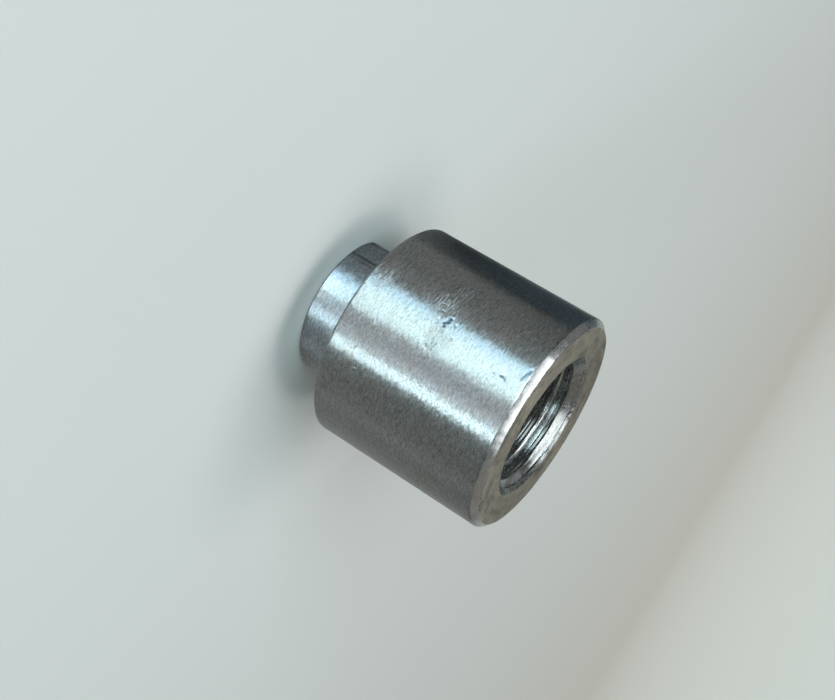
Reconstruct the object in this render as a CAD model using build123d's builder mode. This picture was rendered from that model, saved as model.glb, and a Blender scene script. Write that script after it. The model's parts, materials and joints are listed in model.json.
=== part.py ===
from build123d import *
import os
from math import tan, radians

# Weld bung for a 12 mm oxygen sensor: one piece, turned from round steel bar.
# The spigot drops into the hole in the exhaust pipe, the shoulder above it is welded to the
# pipe, and the long body stands the sensor off the pipe. The spigot's end face is at z = 0,
# the threaded face is on top, and the turning axis is +Z. All lengths are in millimetres.

# Body, from the weld shoulder up to the threaded face
body_diameter = 19.05
body_length = 15.9
face_chamfer = 0.5
shoulder_chamfer = 0.25

# Spigot, and the thin wall round the sensor's tip
spigot_diameter = 11.8
spigot_length = 4.4
spigot_chamfer = 0.2
spigot_wall = 1.4
root_fillet = 0.25

# Tapped hole, M12 x 1.25, modelled at its minor diameter
thread_diameter = 12.0
thread_pitch = 1.25
countersink_margin = 0.21
countersink_angle = 90.0
drill_floor = 1.6
drill_point_angle = 118.0
tip_hole_chamfer = 0.2

# A metric thread's minor diameter is 1.0825 pitches under its nominal diameter
THREAD_DEPTH_PER_PITCH = 1.0825

overall_length = spigot_length + body_length
body_radius = body_diameter / 2
spigot_radius = spigot_diameter / 2
tap_radius = (thread_diameter - THREAD_DEPTH_PER_PITCH * thread_pitch) / 2
tip_hole_radius = spigot_radius - spigot_wall
countersink_radius = thread_diameter / 2 + countersink_margin
drill_floor_z = spigot_length + drill_floor
drill_point_length = tap_radius / tan(radians(drill_point_angle / 2))

with BuildPart() as weld_bung:
    # The blank: half of the turned outline, swept round the axis
    with BuildSketch(Plane.XZ):
        with BuildLine():
            Polyline(
                (0, 0),
                (spigot_radius, 0),
                (spigot_radius, spigot_length),
                (body_radius, spigot_length),
                (body_radius, overall_length),
                (0, overall_length),
                close=True,
            )
        make_face()
    revolve(axis=Axis.Z)

    # The corner that the turning tool leaves between the spigot and the weld shoulder
    shoulder_edges = weld_bung.edges().filter_by_position(Axis.Z, spigot_length, spigot_length)
    fillet(shoulder_edges.sort_by(SortBy.RADIUS)[0], radius=root_fillet)

    # Broken edges: threaded face, back rim of the body and nose of the spigot
    chamfer(weld_bung.edges().group_by(Axis.Z)[-1], length=face_chamfer)
    back_rim = weld_bung.edges().filter_by_position(Axis.Z, spigot_length, spigot_length)
    chamfer(back_rim.sort_by(SortBy.RADIUS)[-1], length=shoulder_chamfer)
    chamfer(weld_bung.edges().group_by(Axis.Z)[0], length=spigot_chamfer)

    # The tapping drill and its countersink, from the threaded face to just above the shoulder
    with Locations((0, 0, overall_length)):
        CounterSinkHole(
            radius=tap_radius,
            counter_sink_radius=countersink_radius,
            depth=body_length - drill_floor,
            counter_sink_angle=countersink_angle,
        )

    # The cone of the drill's point, with the hole for the sensor's tip right through it
    with Locations((0, 0, drill_floor_z)):
        Cone(
            bottom_radius=0,
            top_radius=tap_radius,
            height=drill_point_length,
            align=(Align.CENTER, Align.CENTER, Align.MAX),
            mode=Mode.SUBTRACT,
        )
    Hole(radius=tip_hole_radius)

    # The inner edge of the spigot's nose
    nose_edges = weld_bung.edges().group_by(Axis.Z)[0]
    chamfer(nose_edges.sort_by(SortBy.RADIUS)[0], length=tip_hole_chamfer)

weld_bung.part.label = "weld_bung"

os.makedirs("parts", exist_ok=True)
export_step(weld_bung.part, "parts/weld_bung.step")
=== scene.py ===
import json
from math import atan2, cos, degrees, exp, hypot, pi, radians, sin, tan

import bmesh
import bpy
from mathutils import Matrix, Vector, noise


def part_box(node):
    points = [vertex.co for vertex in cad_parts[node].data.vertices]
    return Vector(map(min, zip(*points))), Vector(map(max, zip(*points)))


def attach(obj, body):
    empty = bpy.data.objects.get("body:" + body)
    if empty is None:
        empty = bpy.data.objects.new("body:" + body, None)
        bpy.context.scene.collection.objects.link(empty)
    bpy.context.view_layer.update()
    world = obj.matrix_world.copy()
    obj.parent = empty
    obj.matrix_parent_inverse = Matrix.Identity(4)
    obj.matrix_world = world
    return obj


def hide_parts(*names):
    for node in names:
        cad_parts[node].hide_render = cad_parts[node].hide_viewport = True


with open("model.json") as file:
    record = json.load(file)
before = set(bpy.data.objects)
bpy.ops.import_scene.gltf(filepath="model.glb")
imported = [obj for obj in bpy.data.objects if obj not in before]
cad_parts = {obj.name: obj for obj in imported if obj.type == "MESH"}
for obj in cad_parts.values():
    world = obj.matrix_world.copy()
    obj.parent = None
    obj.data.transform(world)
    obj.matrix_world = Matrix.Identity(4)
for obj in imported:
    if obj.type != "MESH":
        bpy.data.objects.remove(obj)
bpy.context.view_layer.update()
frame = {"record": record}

MM = 0.001

# Sizes that the frame holds
MOUNTS = {mount["name"]: mount for mount in frame["record"]["mounts"]}
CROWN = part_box("weld_bung")[1]
BODY_R = CROWN.x
FACE_Z = CROWN.z
SHOULDER_Z = MOUNTS["weld_shoulder"]["pos_m"][2]
SPIGOT_R = MOUNTS["spigot"]["dims"]["r_mm"] * MM
TIP_HOLE_R = MOUNTS["tip_hole"]["dims"]["r_mm"] * MM
CREST_R = MOUNTS["sensor_thread"]["dims"]["r_mm"] * MM

# Turned edges
FACE_CHAMFER = 0.5 * MM
SHOULDER_CHAMFER = 0.25 * MM
NOSE_CHAMFER = 0.2 * MM
ROOT_FILLET = 0.25 * MM
COUNTERSINK_R = 6.21 * MM

# Tapped hole, M12 x 1.25. A crest's middle comes to the +X side at CREST_Z, as the photograph has it.
PITCH = 1.25 * MM
THREAD_R = 6.0 * MM
CREST_Z = FACE_Z - 2.424 * MM
CREST_ROUNDING = 0.14 * MM
ROOT_ROUNDING = 0.04 * MM
DRILL_FLOOR_Z = SHOULDER_Z + 1.6 * MM
DRILL_POINT_ANGLE = 118.0

# The blank's bore is narrower than the thread down to DRILL_WALL_Z, so that the tap cuts all of it.
# The tap ends inside the drilled wall below that, and clears the wall by a hair.
PILOT_ALLOWANCE = 0.3 * MM
DRILL_WALL_Z = DRILL_FLOOR_Z + 1.6 * MM
TAP_BOTTOM_Z = DRILL_FLOOR_Z + 0.8 * MM
TAP_TOP_Z = FACE_Z + 0.5 * MM
TAP_CLEARANCE = 0.006 * MM

# How finely the turned surfaces are divided, and how near a point counts as on one
STEPS = 360
SIDE_STEP = 0.36 * MM
LONG_EDGE = 0.9 * MM
NEAR = 0.002 * MM

# Nicks in the far rim of the threaded face, by azimuth in degrees, and their half width
RIM_NICKS = (150.0, 168.0, 132.5, -162.0)
NICK_HALF = 0.25 * MM

# Marks on the body's side: where the line runs (azimuth in degrees, height in mm from the
# threaded face), its half width and its depth in mm
DENTS = [
    ([(-20.2, -8.20), (-18.6, -8.22), (-17.2, -8.42), (-15.8, -8.30)], 0.13, 0.055),
    ([(-13.8, -8.26), (-12.4, -8.16)], 0.10, 0.030),
    ([(-16.9, -8.98), (-16.0, -8.84)], 0.13, 0.022),
    ([(-24.6, -9.62), (-25.0, -9.30), (-24.2, -9.02)], 0.07, 0.018),
    ([(-21.0, -9.38), (-21.8, -9.16), (-21.6, -8.92)], 0.07, 0.018),
    ([(-14.2, -10.0), (-15.4, -9.62)], 0.09, 0.016),
    ([(-6.8, -8.00), (-4.8, -8.14), (-2.4, -8.12)], 0.07, 0.038),
    ([(-8.5, -8.44), (-5.4, -8.32)], 0.06, 0.034),
    ([(-3.9, -8.72), (-3.0, -8.58)], 0.09, 0.032),
    ([(-10.4, -6.12), (-9.9, -6.06)], 0.09, 0.024),
    ([(-11.4, -6.56), (-9.4, -6.46)], 0.06, 0.018),
    ([(-12.6, -7.34), (-11.8, -7.16)], 0.09, 0.028),
    ([(-12.0, -7.78), (-10.6, -7.64)], 0.07, 0.016),
    ([(-18.8, -7.66), (-18.2, -7.54)], 0.09, 0.020),
    ([(-40.3, -6.16), (-39.6, -6.12)], 0.08, 0.026),
    ([(-9.1, -2.58), (-9.2, -2.26), (-8.4, -2.00)], 0.08, 0.044),
    ([(-8.7, -3.14), (-8.5, -3.04)], 0.07, 0.036),
    ([(-18.2, -0.80), (-15.6, -0.96), (-12.6, -1.06)], 0.15, 0.040),
    ([(4.5, -0.90), (4.9, -0.84)], 0.08, 0.022),
    ([(-13.9, -15.62), (-13.2, -15.78)], 0.11, 0.040),
    ([(22.0, -12.70), (22.2, -13.02)], 0.05, 0.014),
    ([(-26.2, -15.30), (-25.2, -15.52)], 0.05, 0.014),
]

# How much of a mark's depth is pressed in, the share of it that stands out as a lip, and the
# most that a lip stands out, in mm
PRESSED = 0.6
LIP_SHARE = 0.05
LIP_MOST = 0.004

# Handling scuffs on the side: azimuth in degrees, height in mm from the threaded face, and reach in mm
SCUFFS = ((-27, -9.2, 2.2), (-9, -8.2, 1.5), (-36, -8.8, 1.5), (-22, -14.8, 1.6))

# The back end's wear and painted shade, each with its middle and half width in degrees: painted
# shade in the body's rim, the spigot's sharp corner, and dark streaks along the spigot, with their
# strengths. BURR is how far the sharp corner stands out past the turned one.
PAINTED_RIM_SHADE = (-12.0, 32.0)
SHARP_CORNER = (-76.0, 26.0)
SPIGOT_STREAKS = ((-43.5, 1.6, 0.50), (-39.0, 1.1, 0.35), (-73.0, 4.0, 0.60))
BURR = 0.03 * MM

# The bung's material slots, in the order of finishes()
SIDE, FACE, BORE, SPIGOT, EDGE, COUNTERSINK = range(6)
# A dark blue-grey for deep marks and streaks, and for the painted shade in the back rims and along the
# spigot's end
SHADE_AND_MARK_COLOUR = "#48565f"
SHARP_ANGLE = 33.0

# The studio, in metres
LAMP_DISTANCE = 0.5
COVE_HALF_WIDTH = 0.26
COVE_FRONT = -0.1
COVE_BACK = 0.45
COVE_HEIGHT = 0.5
COVE_BEND = 0.12
FLOOR_HALF_WIDTH = 1.3
FLOOR_DROP = 2e-5
FLOOR_COLOUR = "#c4c2bd"

# The photograph's camera, as fitted to the part's outline: lens in mm, place in mm from the middle
# of the threaded face, how far it looks down and how far it is rolled, in degrees
LENS = 54.9
EYE_BACK = 98.47
EYE_UP = 23.7
LOOKS_DOWN = 20.19
ROLLED = 121.28


def azimuth_of(point):
    """Radians round the axis: 0 towards the camera's side, growing towards +X."""
    return atan2(point.x, -point.y)


def direction(azimuth, elevation):
    """Unit vector from an azimuth and an elevation in degrees."""
    a, e = radians(azimuth), radians(elevation)
    return Vector((sin(a) * cos(e), -cos(a) * cos(e), sin(e)))


def bell(value, middle, half):
    """1 at the middle, and about a third of that where it is half away."""
    return exp(-((value - middle) / half) ** 2)


def ring_point(radius, height):
    """A point of the half section that is swung round the axis."""
    return Vector((radius, 0.0, height))


def swing(bm, rise=0.0, closed=False):
    """Swings everything in the bmesh once round the turning axis, climbing by rise in all."""
    bmesh.ops.spin(
        bm, geom=bm.verts[:] + bm.edges[:], cent=(0, 0, 0), axis=(0, 0, 1),
        dvec=(0, 0, rise / STEPS), angle=2 * pi, steps=STEPS, use_merge=closed, use_duplicate=False,
    )


def turned_blank():
    """The bung before it is tapped: half its section as a wire, swung once round the axis."""
    pilot_r = CREST_R - PILOT_ALLOWANCE
    pilot_z = FACE_Z - (COUNTERSINK_R - pilot_r)
    point_rise = (CREST_R - TIP_HOLE_R) / tan(radians(DRILL_POINT_ANGLE / 2))
    # Each corner's radius and height, and how far its rounding reaches in mm. The spigot's root is
    # rounded tighter than the solid's fillet.
    outline = [
        (TIP_HOLE_R + NOSE_CHAMFER, 0.0, 0.04),
        (SPIGOT_R - NOSE_CHAMFER, 0.0, 0.06),
        (SPIGOT_R, NOSE_CHAMFER, 0.06),
        (SPIGOT_R, SHOULDER_Z, 0.105),
        (BODY_R - SHOULDER_CHAMFER, SHOULDER_Z, 0.06),
        (BODY_R, SHOULDER_Z + SHOULDER_CHAMFER, 0.06),
        (BODY_R, FACE_Z - FACE_CHAMFER, 0.06),
        (BODY_R - FACE_CHAMFER, FACE_Z, 0.06),
        (COUNTERSINK_R, FACE_Z, 0.04),
        (pilot_r, pilot_z, 0.0),
        (pilot_r, DRILL_WALL_Z, 0.0),
        (CREST_R, DRILL_WALL_Z, 0.0),
        (CREST_R, DRILL_FLOOR_Z, 0.0),
        (TIP_HOLE_R, DRILL_FLOOR_Z - point_rise, 0.0),
        (TIP_HOLE_R, NOSE_CHAMFER, 0.04),
    ]
    bm = bmesh.new()
    corners = [bm.verts.new(ring_point(r, z)) for r, z, _ in outline]
    for a, b in zip(corners, corners[1:] + corners[:1]):
        bm.edges.new((a, b))
    for corner, (_, _, rounding) in zip(corners, outline):
        if rounding:
            bmesh.ops.bevel(
                bm, geom=[corner], offset=rounding * MM, segments=3, profile=0.5, affect="VERTICES",
                material=-1,
            )
    swing(bm, closed=True)
    bmesh.ops.remove_doubles(bm, verts=bm.verts, dist=1e-7)
    bmesh.ops.recalc_face_normals(bm, faces=bm.faces)
    return bm


def thread_tap():
    """The tap that cuts the thread: one pitch of its tooth, swung up in a helix and trimmed flat."""
    crest_flat, root_flat = PITCH / 4, PITCH / 8
    flank = (PITCH - crest_flat - root_flat) / 2
    crest_r = CREST_R + TAP_CLEARANCE
    # One pitch of the tooth, from the middle of a root to the next: radius, height and rounding
    tooth = [
        (THREAD_R, 0.0, 0.0),
        (THREAD_R, root_flat / 2, ROOT_ROUNDING),
        (crest_r, root_flat / 2 + flank, CREST_ROUNDING),
        (crest_r, root_flat / 2 + flank + crest_flat, CREST_ROUNDING),
        (THREAD_R, PITCH - root_flat / 2, ROOT_ROUNDING),
        (THREAD_R, PITCH, 0.0),
    ]
    turns_down = int((CREST_Z - TAP_BOTTOM_Z) / PITCH) + 3
    turns = turns_down + int((TAP_TOP_Z - CREST_Z) / PITCH) + 2
    start_z = CREST_Z - PITCH / 2 - turns_down * PITCH
    bm = bmesh.new()
    points = [bm.verts.new(ring_point(r, start_z + z)) for r, z, _ in tooth]
    for a, b in zip(points, points[1:]):
        bm.edges.new((a, b))
    for point, (_, _, rounding) in zip(points, tooth):
        if rounding:
            bmesh.ops.bevel(
                bm, geom=[point], offset=rounding, segments=3 if rounding == CREST_ROUNDING else 1,
                profile=0.5, affect="VERTICES", material=-1,
            )
    swing(bm, rise=PITCH)
    one_turn = bm.verts[:] + bm.edges[:] + bm.faces[:]
    for turn in range(1, turns):
        copied = bmesh.ops.duplicate(bm, geom=one_turn)["geom"]
        bmesh.ops.translate(
            bm, vec=(0, 0, turn * PITCH), verts=[v for v in copied if isinstance(v, bmesh.types.BMVert)],
        )
    bmesh.ops.remove_doubles(bm, verts=bm.verts, dist=2e-6)
    for height, outward in ((TAP_BOTTOM_Z, -1), (TAP_TOP_Z, 1)):
        bmesh.ops.bisect_plane(
            bm, geom=bm.verts[:] + bm.edges[:] + bm.faces[:], plane_co=(0, 0, height),
            plane_no=(0, 0, outward), clear_outer=True, dist=1e-7,
        )
        rim = [e for e in bm.edges if e.is_boundary and abs(e.verts[0].co.z - height) < 1e-6
               and abs(e.verts[1].co.z - height) < 1e-6]
        bmesh.ops.contextual_create(bm, geom=rim)
    bmesh.ops.recalc_face_normals(bm, faces=bm.faces)
    return bm


def as_object(bm, name):
    """Turns a finished bmesh into an object of the scene."""
    mesh = bpy.data.meshes.new(name)
    bm.to_mesh(mesh)
    bm.free()
    made = bpy.data.objects.new(name, mesh)
    bpy.context.scene.collection.objects.link(made)
    return made


def radius_of(vert):
    return hypot(vert.co.x, vert.co.y)


def on_side(vert):
    return abs(radius_of(vert) - BODY_R) < NEAR


def on_spigot(vert):
    return abs(radius_of(vert) - SPIGOT_R) < NEAR


def on_face(vert):
    return abs(vert.co.z - FACE_Z) < NEAR


def on_shoulder(vert):
    return abs(vert.co.z - SHOULDER_Z) < NEAR


def divide_long_edges(bm, test):
    """Divides the long edges of one surface that run along the section, so that it gets even rows."""
    edges = [
        e for e in bm.edges
        if e.calc_length() > LONG_EDGE and test(e.verts[0]) and test(e.verts[1])
        and abs(radius_of(e.verts[0]) - radius_of(e.verts[1]))
        + abs(e.verts[0].co.z - e.verts[1].co.z) > LONG_EDGE
    ]
    longest = max(e.calc_length() for e in edges)
    cuts = max(1, round(longest / SIDE_STEP) - 1)
    bmesh.ops.subdivide_edges(bm, edges=edges, cuts=cuts, use_grid_fill=True)


def unrolled(point):
    """Millimetres round the body from the middle of the camera's side, and down from the threaded face."""
    return BODY_R / MM * azimuth_of(point), (point.z - FACE_Z) / MM


def stroke_points(stroke):
    """A mark's own points in unrolled millimetres, from its azimuths in degrees and heights."""
    return [(BODY_R / MM * radians(azimuth), height) for azimuth, height in stroke]


def away_from(stroke, u, v):
    """Distance in millimetres from an unrolled point to a mark's line."""
    nearest = 1e9
    for (u0, v0), (u1, v1) in zip(stroke, stroke[1:] or stroke):
        du, dv = u1 - u0, v1 - v0
        along = ((u - u0) * du + (v - v0) * dv) / (du * du + dv * dv + 1e-9)
        along = min(1.0, max(0.0, along))
        nearest = min(nearest, hypot(u - u0 - along * du, v - v0 - along * dv))
    return nearest


def press_dents(bm):
    """Refines the side where it was knocked in service, and presses each mark in with a small lip."""
    marks = [(stroke_points(stroke), half, depth) for stroke, half, depth in DENTS]
    dark_marks_and_painted_shade = bm.verts.layers.float.new("dark_marks_and_painted_shade")

    def near_mark(u, v, reach):
        return any(away_from(points, u, v) < half * 2 + reach for points, half, _ in marks)

    # Refined twice, the second time closer round the marks
    for reach in (0.35, 0.14):
        faces = []
        for face in bm.faces:
            middle = face.calc_center_median()
            outside = hypot(middle.x, middle.y) > BODY_R - 0.01 * MM and abs(face.normal.z) < 0.2
            if middle.y < 0 and outside and near_mark(*unrolled(middle), reach):
                faces.append(face)
        edges = list({e for f in faces for e in f.edges})
        bmesh.ops.subdivide_edges(bm, edges=edges, cuts=1, use_grid_fill=True)
    for vert in bm.verts:
        if vert.co.y > 0 or not on_side(vert):
            continue
        u, v = unrolled(vert.co)
        sink = 0.0
        for points, half, depth in marks:
            far = away_from(points, u, v) / half
            if far < 4.0:
                # Metal tears unevenly, so the mark's edge wanders and its floor is rough
                far *= 1.0 + 0.45 * noise.noise(Vector((u, v, half)) / 0.13)
                sink += depth * (bell(far, 0.0, 1.0) - LIP_SHARE * bell(far, 1.9, 0.55))
        # Darker where a mark is deep
        vert[dark_marks_and_painted_shade] = min(1.0, max(0.0, (sink - 0.016) / 0.024))
        shrink = 1.0 - max(PRESSED * sink, -LIP_MOST) * MM / BODY_R
        vert.co.x *= shrink
        vert.co.y *= shrink


def wander(azimuth, seed):
    """How far a hand-filed edge strays from its line, in mm."""
    ring = Vector((cos(azimuth), sin(azimuth), seed))
    return (
        0.055 * noise.noise(ring * 2.2)
        + 0.050 * noise.noise(ring * 6.0)
        + 0.030 * noise.noise(ring * 17.0)
    )


def break_edges(bm):
    """Files the rims of the threaded face by hand, so that their widths wander, with a few nicks."""
    for vert in bm.verts:
        depth = FACE_Z - vert.co.z
        r = radius_of(vert)
        azimuth = azimuth_of(vert.co)
        if r > BODY_R - FACE_CHAMFER - 0.05 * MM and depth < FACE_CHAMFER + 0.06 * MM:
            # The chamfer's lower edge drops most just left of the camera, where it was filed hardest
            share = min(1.0, depth / FACE_CHAMFER)
            lower = 0.13 * bell(azimuth, -0.30, 0.42) + wander(azimuth, 1.0)
            upper = 0.05 + wander(azimuth, 2.0)
            for nick in RIM_NICKS:
                upper += 0.14 * bell(azimuth, radians(nick), NICK_HALF / BODY_R)
            vert.co.z -= lower * MM * share
            inward = 1.0 - upper * MM * (1.0 - share) / r
            vert.co.x *= inward
            vert.co.y *= inward
        elif abs(r - COUNTERSINK_R) < 0.05 * MM and depth < 0.06 * MM:
            outward = 1.0 + (0.04 + 1.3 * wander(azimuth, 3.0)) * MM / r
            vert.co.x *= outward
            vert.co.y *= outward


def wear_back_end(bm):
    """Leaves the spigot's end sharp along one side, dark streaks along it, and painted shade in both back
    rims.
    """
    dark_marks_and_painted_shade = bm.verts.layers.float["dark_marks_and_painted_shade"]
    for vert in bm.verts:
        r, height = radius_of(vert), vert.co.z
        azimuth = degrees(azimuth_of(vert.co))
        if r > BODY_R - 1.1 * SHOULDER_CHAMFER and height < SHOULDER_Z + 0.8 * SHOULDER_CHAMFER:
            # Painted shade in the body's back rim, for the shadow gap between it and the spigot
            vert[dark_marks_and_painted_shade] = bell(azimuth, *PAINTED_RIM_SHADE)
        elif SPIGOT_R - 1.1 * NOSE_CHAMFER < r < SPIGOT_R + 0.01 * MM and height < SHOULDER_Z - ROOT_FILLET:
            at_end = max(0.0, 1.0 - height / NOSE_CHAMFER)
            sharp = at_end * bell(azimuth, *SHARP_CORNER)
            streaks = 0.0
            for middle, half, strength in SPIGOT_STREAKS:
                streaks += strength * bell(azimuth, middle, half)
            patchy = 1.0 + 1.4 * noise.noise(vert.co / (1.1 * MM))
            # Painted shade along the spigot's end chamfer where it meets the floor, plus the dark streaks
            # along the spigot
            vert[dark_marks_and_painted_shade] = min(1.0, 0.6 * at_end + streaks * patchy)
            if sharp:
                outward = 1.0 + (BURR + sharp * NOSE_CHAMFER) / r
                vert.co.x *= outward
                vert.co.y *= outward


def share_out_finishes(bm):
    """Gives each face the finish of the surface that it is part of."""
    for face in bm.faces:
        middle = face.calc_center_median()
        r = hypot(middle.x, middle.y)
        outwards = (middle.x * face.normal.x + middle.y * face.normal.y) / r
        on_cone = abs(r + FACE_Z - middle.z - COUNTERSINK_R) < 0.15 * MM
        on_back_rim = face.normal.z < 0 and r > BODY_R - SHOULDER_CHAMFER
        if outwards < -0.1:
            face.material_index = COUNTERSINK if on_cone else BORE
        elif 0.3 < face.normal.z < 0.96 and r > COUNTERSINK_R:
            face.material_index = EDGE
        elif abs(face.normal.z) > 0.6 and not on_back_rim:
            face.material_index = FACE
        elif r < SPIGOT_R + ROOT_FILLET:
            face.material_index = SPIGOT
        else:
            face.material_index = SIDE
        face.smooth = True


def tapped_bung():
    """The turned blank with its thread cut, its surfaces divided and its marks pressed in."""
    blank = as_object(turned_blank(), "turned_bung")
    tap = as_object(thread_tap(), "tap")
    cut = blank.modifiers.new("tapping", "BOOLEAN")
    cut.operation = "DIFFERENCE"
    cut.solver = "MANIFOLD"
    cut.object = tap
    bpy.context.view_layer.update()
    evaluated = blank.evaluated_get(bpy.context.evaluated_depsgraph_get())
    bm = bmesh.new()
    bm.from_mesh(bpy.data.meshes.new_from_object(evaluated))
    blank.modifiers.clear()
    bpy.data.objects.remove(tap)
    for surface in (on_side, on_spigot, on_face, on_shoulder):
        divide_long_edges(bm, surface)
    break_edges(bm)
    press_dents(bm)
    wear_back_end(bm)
    bmesh.ops.recalc_face_normals(bm, faces=bm.faces)
    share_out_finishes(bm)
    bm.to_mesh(blank.data)
    bm.free()
    blank.data.set_sharp_from_angle(angle=radians(SHARP_ANGLE))
    return blank


def linear(colour):
    """An sRGB hex colour as the linear RGBA that a shader socket takes."""
    parts = [int(colour[i:i + 2], 16) / 255 for i in (1, 3, 5)]
    return [p / 12.92 if p < 0.04045 else ((p + 0.055) / 1.055) ** 2.4 for p in parts] + [1.0]


def add(tree, kind, sockets=(), **settings):
    """Adds a node. Settings are its own properties; sockets are its inputs, each set or linked."""
    node = tree.nodes.new(kind)
    for name, value in settings.items():
        setattr(node, name, value)
    for name, value in dict(sockets).items():
        if isinstance(value, bpy.types.NodeSocket):
            tree.links.new(value, node.inputs[name])
        else:
            node.inputs[name].default_value = value
    return node


def scuff_masks(tree, place, waves, scuffs):
    """Two masks: where handling rubbed the steel, and the broken hair scratches that cross there."""
    rubbed = 0.0
    for azimuth, height, reach in scuffs:
        middle = direction(azimuth, 0) * BODY_R + Vector((0, 0, FACE_Z + height * MM))
        away = add(
            tree, "ShaderNodeVectorMath", {0: place, 1: middle}, operation="DISTANCE",
        ).outputs["Value"]
        here = add(
            tree, "ShaderNodeMapRange",
            {"Value": away, "From Min": reach * MM, "From Max": reach * 0.2 * MM},
            interpolation_type="SMOOTHSTEP",
        ).outputs[0]
        rubbed = add(tree, "ShaderNodeMath", {0: here, 1: rubbed}, operation="MAXIMUM").outputs[0]
    # Long cells turned two ways: their walls read as crossing scratches. The real ones are finer
    # than a pixel, so these are drawn wider.
    scratched = 0.0
    for size, tilt in ((0.50, 0.95), (0.36, -0.65)):
        slanted = add(
            tree, "ShaderNodeMapping",
            {"Vector": place, "Rotation": (0, tilt, 0), "Scale": (0.4, 0.4, 1.6)},
        ).outputs[0]
        cells = add(
            tree, "ShaderNodeTexVoronoi", {"Vector": slanted, "Scale": 1 / (size * MM)},
            feature="DISTANCE_TO_EDGE",
        ).outputs["Distance"]
        hair = add(
            tree, "ShaderNodeMapRange", {"Value": cells, "From Min": 0.13, "From Max": 0.03},
        ).outputs[0]
        scratched = add(tree, "ShaderNodeMath", {0: hair, 1: scratched}, operation="MAXIMUM").outputs[0]
    broken = add(
        tree, "ShaderNodeMapRange", {"Value": waves, "From Min": 0.46, "From Max": 0.58},
    ).outputs[0]
    hairs = add(tree, "ShaderNodeMath", {0: scratched, 1: broken}, operation="MULTIPLY").outputs[0]
    hairs = add(tree, "ShaderNodeMath", {0: hairs, 1: rubbed}, operation="MULTIPLY").outputs[0]
    return rubbed, hairs


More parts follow.
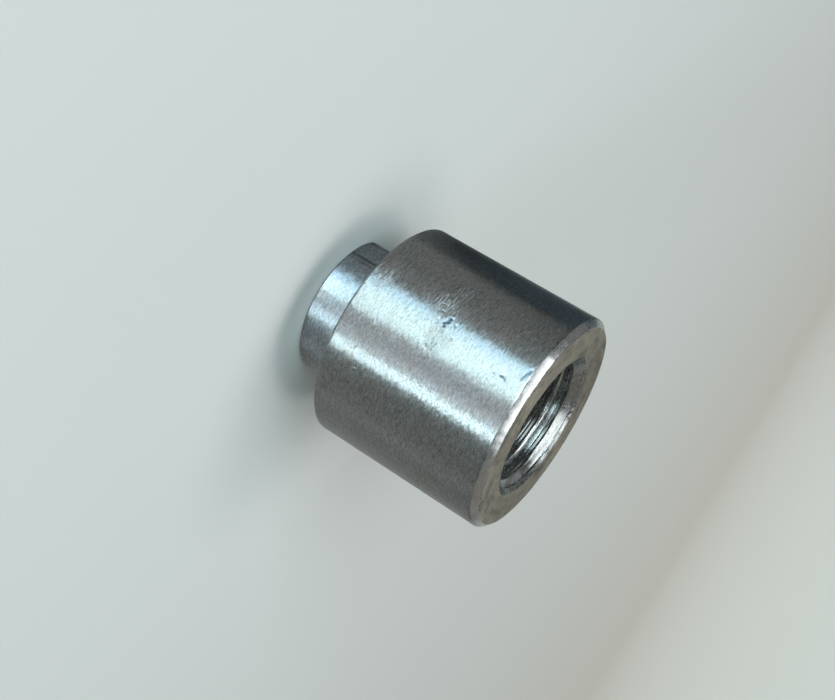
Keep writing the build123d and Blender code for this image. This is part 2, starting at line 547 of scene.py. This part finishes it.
def steel(name, colour, stain, roughness, anisotropic, feed=0.0, groove_tilt=0.0, faced=False,
          lines=1.3, grain=0.9, grain_size=0.15, cloudy=0.2, ripple=24.0, scuffs=()):
    """
    Mild steel cut on a lathe. Its patterns run round the axis: they are stretched along x and y,
    and fine along the height, or along the radius on a faced end. Lengths are in mm, but the
    ripple's height is in thousandths of one.
    """
    material = bpy.data.materials.new(name)
    material.use_nodes = True
    tree = material.node_tree
    shader = tree.nodes["Principled BSDF"]
    shader.inputs["Metallic"].default_value = 1.0
    # The tool's grooves run round the part, so its gloss is drawn out across them, along the axis
    shader.inputs["Anisotropic"].default_value = anisotropic
    shader.inputs["Anisotropic Rotation"].default_value = 0.25
    tangent = add(tree, "ShaderNodeTangent", direction_type="RADIAL", axis="Z")
    tree.links.new(tangent.outputs[0], shader.inputs["Tangent"])

    place = add(tree, "ShaderNodeTexCoord").outputs["Object"]
    xyz = add(tree, "ShaderNodeSeparateXYZ", {0: place}).outputs
    across = xyz["Z"]
    if faced:
        flat = add(tree, "ShaderNodeCombineXYZ", {"X": xyz["X"], "Y": xyz["Y"]})
        across = add(
            tree, "ShaderNodeVectorMath", {0: flat.outputs[0]}, operation="LENGTH",
        ).outputs["Value"]
    rolled = add(
        tree, "ShaderNodeCombineXYZ", {"X": xyz["X"], "Y": xyz["Y"], "Z": across},
    ).outputs[0]

    # Each pattern's length round the part, its width across it, and its detail. Real tool lines
    # are finer than a pixel here, so they are drawn as coarse as they need to show.
    patterns = []
    for run, width, detail in (
        (0.50, 0.10, 1.0),
        (grain_size, grain_size, 1.0),
        (1.8, 1.2, 3.0),
        (0.80, 0.15, 1.0),
    ):
        sized = add(
            tree, "ShaderNodeMapping",
            {"Vector": rolled, "Scale": (1 / (run * MM), 1 / (run * MM), 1 / (width * MM))},
        ).outputs[0]
        patterns.append(
            add(tree, "ShaderNodeTexNoise", {"Vector": sized, "Scale": 1.0, "Detail": detail}).outputs["Fac"]
        )
    tool_lines, specks, patches, waves = patterns
    if scuffs:
        rubbed, hairs = scuff_masks(tree, place, waves, scuffs)

    # Colour: stained in patches, brighter and darker with each pattern, darker where a mark is deep, and
    # painted shade in the back rims and along the spigot's end
    stained = add(
        tree, "ShaderNodeMapRange", {"Value": patches, "From Min": 0.46, "From Max": 0.72, "To Max": 0.55},
    ).outputs[0]
    tint = add(
        tree, "ShaderNodeMix", {0: stained, 6: linear(colour), 7: linear(stain)}, data_type="RGBA",
    ).outputs[2]
    brightness = 1.0 - (lines + grain + cloudy) / 2
    for pattern, strength in ((tool_lines, lines), (specks, grain), (patches, cloudy)):
        brightness = add(
            tree, "ShaderNodeMath", {0: pattern, 1: strength, 2: brightness}, operation="MULTIPLY_ADD",
        ).outputs[0]
    if scuffs:
        brightness = add(
            tree, "ShaderNodeMath", {0: hairs, 1: 0.8, 2: brightness}, operation="MULTIPLY_ADD",
        ).outputs[0]
    shown = add(tree, "ShaderNodeHueSaturation", {"Value": brightness, "Color": tint}).outputs[0]
    # How dark each point is painted: deep marks and streaks, and painted shade in the back rims and along
    # the spigot's end
    dark_marks_and_painted_shade = add(tree, "ShaderNodeAttribute", attribute_name="dark_marks_and_painted_shade").outputs["Fac"]
    marked_and_shaded = add(
        tree, "ShaderNodeMix", {0: dark_marks_and_painted_shade, 6: shown, 7: linear(SHADE_AND_MARK_COLOUR)}, data_type="RGBA",
    ).outputs[2]
    tree.links.new(marked_and_shaded, shader.inputs["Base Color"])

    # Gloss: the tool lines break it up, and scuffs dull it
    dull = add(
        tree, "ShaderNodeMapRange",
        {"Value": tool_lines, "From Min": 0.3, "From Max": 0.7,
         "To Min": roughness * 0.85, "To Max": roughness * 1.2},
    ).outputs[0]
    if scuffs:
        for mask, strength in ((rubbed, 0.06), (hairs, 0.5)):
            dull = add(
                tree, "ShaderNodeMath", {0: mask, 1: strength, 2: dull}, operation="MULTIPLY_ADD",
            ).outputs[0]
    tree.links.new(dull, shader.inputs["Roughness"])

    # Relief: the saw-shaped groove of the tool's feed leans the gloss along the axis, and short
    # ripples and scratches break it. The wave texture repeats every pi / 10 at scale 1.
    relief = {"Height": waves, "Distance": ripple * MM / 1000}
    if groove_tilt:
        grooves = add(
            tree, "ShaderNodeTexWave", {"Vector": place, "Scale": pi / 10 / (feed * MM)},
            wave_type="BANDS", bands_direction="Z", wave_profile="SAW",
        ).outputs["Fac"]
        relief["Normal"] = add(
            tree, "ShaderNodeBump",
            {"Height": grooves, "Distance": feed * MM * tan(radians(groove_tilt))}, invert=True,
        ).outputs[0]
    normal = add(tree, "ShaderNodeBump", relief).outputs[0]
    if scuffs:
        normal = add(
            tree, "ShaderNodeBump", {"Height": hairs, "Distance": -0.004 * MM, "Normal": normal},
        ).outputs[0]
    tree.links.new(normal, shader.inputs["Normal"])
    return material


def finishes():
    """The bung's six finishes, in the order of its material slots."""
    return (
        # Turned mild steel: silky grey, its gloss drawn out along the axis by the tool's grooves,
        # with short dashes round the body, thin brown stains and light scuffs from handling
        steel("turned_mild_steel", "#8f8e8d", "#867e76", 0.34, 1.0, feed=0.06, groove_tilt=8.0,
              scuffs=SCUFFS),
        # Faced mild steel: flatter and duller than the side, mottled brown, with faint rings
        steel("faced_mild_steel", "#978c7f", "#796c5d", 0.38, 0.5, faced=True, lines=0.8, grain=1.1,
              grain_size=0.40, cloudy=2.9, ripple=7.0),
        # Tapped mild steel: torn along the thread by the tap, so its gloss breaks into streaks
        steel("tapped_mild_steel", "#b2b2b0", "#8d8a85", 0.26, 0.3, lines=0.9, grain=0.4, ripple=4.0),
        # The spigot's turned steel, with no scuffs and with painted light: its colour is far paler than
        # the side's, standing in for the light that the body's overhang keeps from it
        steel("spigot_steel_painted_pale", "#c7c9ce", "#b5b0a8", 0.55, 1.0, feed=0.06, groove_tilt=8.0),
        # Filed mild steel: the edge was broken with a file, which left it bright and smooth
        steel("filed_mild_steel", "#a5a5a4", "#8f8b85", 0.28, 0.2, lines=0.3, grain=0.3, ripple=1.5),
        # Countersunk mild steel: the cutter chattered, which left it darker and ringed
        steel("countersunk_mild_steel", "#878886", "#6c6963", 0.26, 0.3, lines=1.6, grain=0.4, ripple=5.0),
    )


def lamp(name, place, towards, width, height, radiance, colour, spread=180.0):
    """A flat lamp at a place in metres that shines towards a point."""
    light = bpy.data.lights.new(name, "AREA")
    light.shape = "RECTANGLE"
    light.size, light.size_y = width, height
    light.energy = radiance * pi * width * height
    light.color = linear(colour)[:3]
    light.spread = radians(spread)
    made = bpy.data.objects.new(name, light)
    made.location = place
    made.rotation_mode = "QUATERNION"
    made.rotation_quaternion = (Vector(place) - Vector(towards)).to_track_quat("Z", "Y")
    made.visible_camera = False
    bpy.context.scene.collection.objects.link(made)


def softbox(name, azimuth, elevation, width, height, radiance, colour):
    """A lamp that faces the part, with its width and height as angles seen from the part."""
    wide, high = (2 * LAMP_DISTANCE * tan(radians(angle / 2)) for angle in (width, height))
    lamp(name, direction(azimuth, elevation) * LAMP_DISTANCE, (0, 0, 0), wide, high, radiance, colour)


def card(name, colour, corners):
    """A matt four-cornered sheet that belongs to the studio."""
    bm = bmesh.new()
    bm.faces.new([bm.verts.new(corner) for corner in corners])
    bmesh.ops.recalc_face_normals(bm, faces=bm.faces)
    sheet = as_object(bm, name)
    paint = bpy.data.materials.new(name + "_card")
    paint.use_nodes = True
    shader = paint.node_tree.nodes["Principled BSDF"]
    shader.inputs["Base Color"].default_value = linear(colour)
    shader.inputs["Roughness"].default_value = 0.9
    shader.inputs["Specular IOR Level"].default_value = 0.1
    sheet.data.materials.append(paint)
    return sheet


def lamps():
    """The studio's soft lamps, and the grey of the room round it."""
    # In front: each low one, at 7 degrees, is a bright or middling band along the body. The high one
    # is for the rims that look up at it.
    softbox("window_cool", -34.0, 7, 12, 14, 21.0, "#b7e8ff")
    softbox("window", -16.3, 7, 23.4, 14, 21.5, "#d2f9ff")
    softbox("window_high", -20, 36, 30, 26, 5.5, "#e4f8ff")
    softbox("fill_low", 5.5, 7, 17, 14, 5.2, "#e0f2ff")
    softbox("fill_high", 20.5, 7, 12, 14, 9.2, "#e0f2ff")
    softbox("strip", 31.7, 7, 10, 14, 33.0, "#d6f6ff")
    # One overhead, one that warms the backdrop, and weak ones for the walls at both sides
    lamp("overhead", (-0.10, -0.06, 0.5), (-0.10, -0.06, 0), 0.52, 0.23, 5.3, "#f4fbff")
    lamp("background", (0, 0.25, 0.5), (0, 0.45, 0.15), 0.5, 0.1, 1.6, "#ffe6c4", spread=100.0)
    softbox("side_wall", 118, 40, 60, 50, 0.36, "#fbf7ee")
    softbox("side_wall_left", -122, 38, 34, 34, 0.30, "#f4f8ff")
    world = bpy.data.worlds.new("studio")
    world.use_nodes = True
    world.node_tree.nodes["Background"].inputs["Color"].default_value = linear("#404040")
    bpy.context.scene.world = world


def backdrop():
    """A pale floor that bends up into a back wall, with a wider floor a hair below it."""
    profile = (
        (-COVE_HALF_WIDTH, COVE_FRONT, 0),
        (-COVE_HALF_WIDTH, COVE_BACK, 0),
        (-COVE_HALF_WIDTH, COVE_BACK, COVE_HEIGHT),
    )
    bm = bmesh.new()
    verts = [bm.verts.new(point) for point in profile]
    edges = [bm.edges.new(pair) for pair in zip(verts, verts[1:])]
    grown = bmesh.ops.extrude_edge_only(bm, edges=edges)["geom"]
    bmesh.ops.translate(
        bm, vec=(2 * COVE_HALF_WIDTH, 0, 0), verts=[v for v in grown if isinstance(v, bmesh.types.BMVert)],
    )
    corner = [e for e in bm.edges if all(abs(v.co.y - COVE_BACK) < 1e-6 and v.co.z < 1e-6 for v in e.verts)]
    bmesh.ops.bevel(
        bm, geom=corner, offset=COVE_BEND, segments=12, profile=0.5, affect="EDGES", material=-1,
    )
    bmesh.ops.recalc_face_normals(bm, faces=bm.faces)
    cove = as_object(bm, "cove")
    cove.data.shade_smooth()
    floor = card("floor", FLOOR_COLOUR, [
        (x * FLOOR_HALF_WIDTH, y * FLOOR_HALF_WIDTH, -FLOOR_DROP)
        for x, y in ((-1, -1), (1, -1), (1, 1), (-1, 1))
    ])
    cove.data.materials.append(floor.data.materials[0])


def flags():
    """
    Cards that only the steel's reflections see. Two beside the part, the upper one paler, give the
    dark line along its far edge, and a grey one behind it darkens the far half of the threaded face.
    """
    beside = (Vector((-0.0238, -0.0024, 0)), Vector((-0.0155, 0.0108, 0)))
    behind = (Vector((-0.013, 0.024, 0)), Vector((0.013, 0.024, 0)))
    for name, colour, (near, far), low, high in (
        ("flag_low", "#2c3236", beside, 0.0, 0.010),
        ("flag_high", "#565c62", beside, 0.010, 0.026),
        ("flag_back", "#4a4844", behind, 0.0, 0.0265),
    ):
        foot, head = Vector((0, 0, low)), Vector((0, 0, high))
        flag = card(name, colour, [far + foot, near + foot, near + head, far + head])
        flag.visible_camera = flag.visible_shadow = flag.visible_diffuse = False


def camera():
    """At the photograph's viewing angle, rolled so that the part lies over to the lower right."""
    data = bpy.data.cameras.new("camera")
    data.lens = LENS
    data.clip_start = 0.005
    eye = Vector((0.0, -EYE_BACK * MM, FACE_Z + EYE_UP * MM))
    made = bpy.data.objects.new("camera", data)
    made.matrix_world = (
        Matrix.Translation(eye)
        @ Matrix.Rotation(pi / 2 - radians(LOOKS_DOWN), 4, "X")
        @ Matrix.Rotation(radians(ROLLED), 4, "Z")
    )
    bpy.context.scene.collection.objects.link(made)
    bpy.context.scene.camera = made


bung = tapped_bung()
for finish in finishes():
    bung.data.materials.append(finish)
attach(bung, "root")
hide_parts("weld_bung")
lamps()
backdrop()
flags()
camera()
bpy.context.scene.view_settings.view_transform = "Standard"
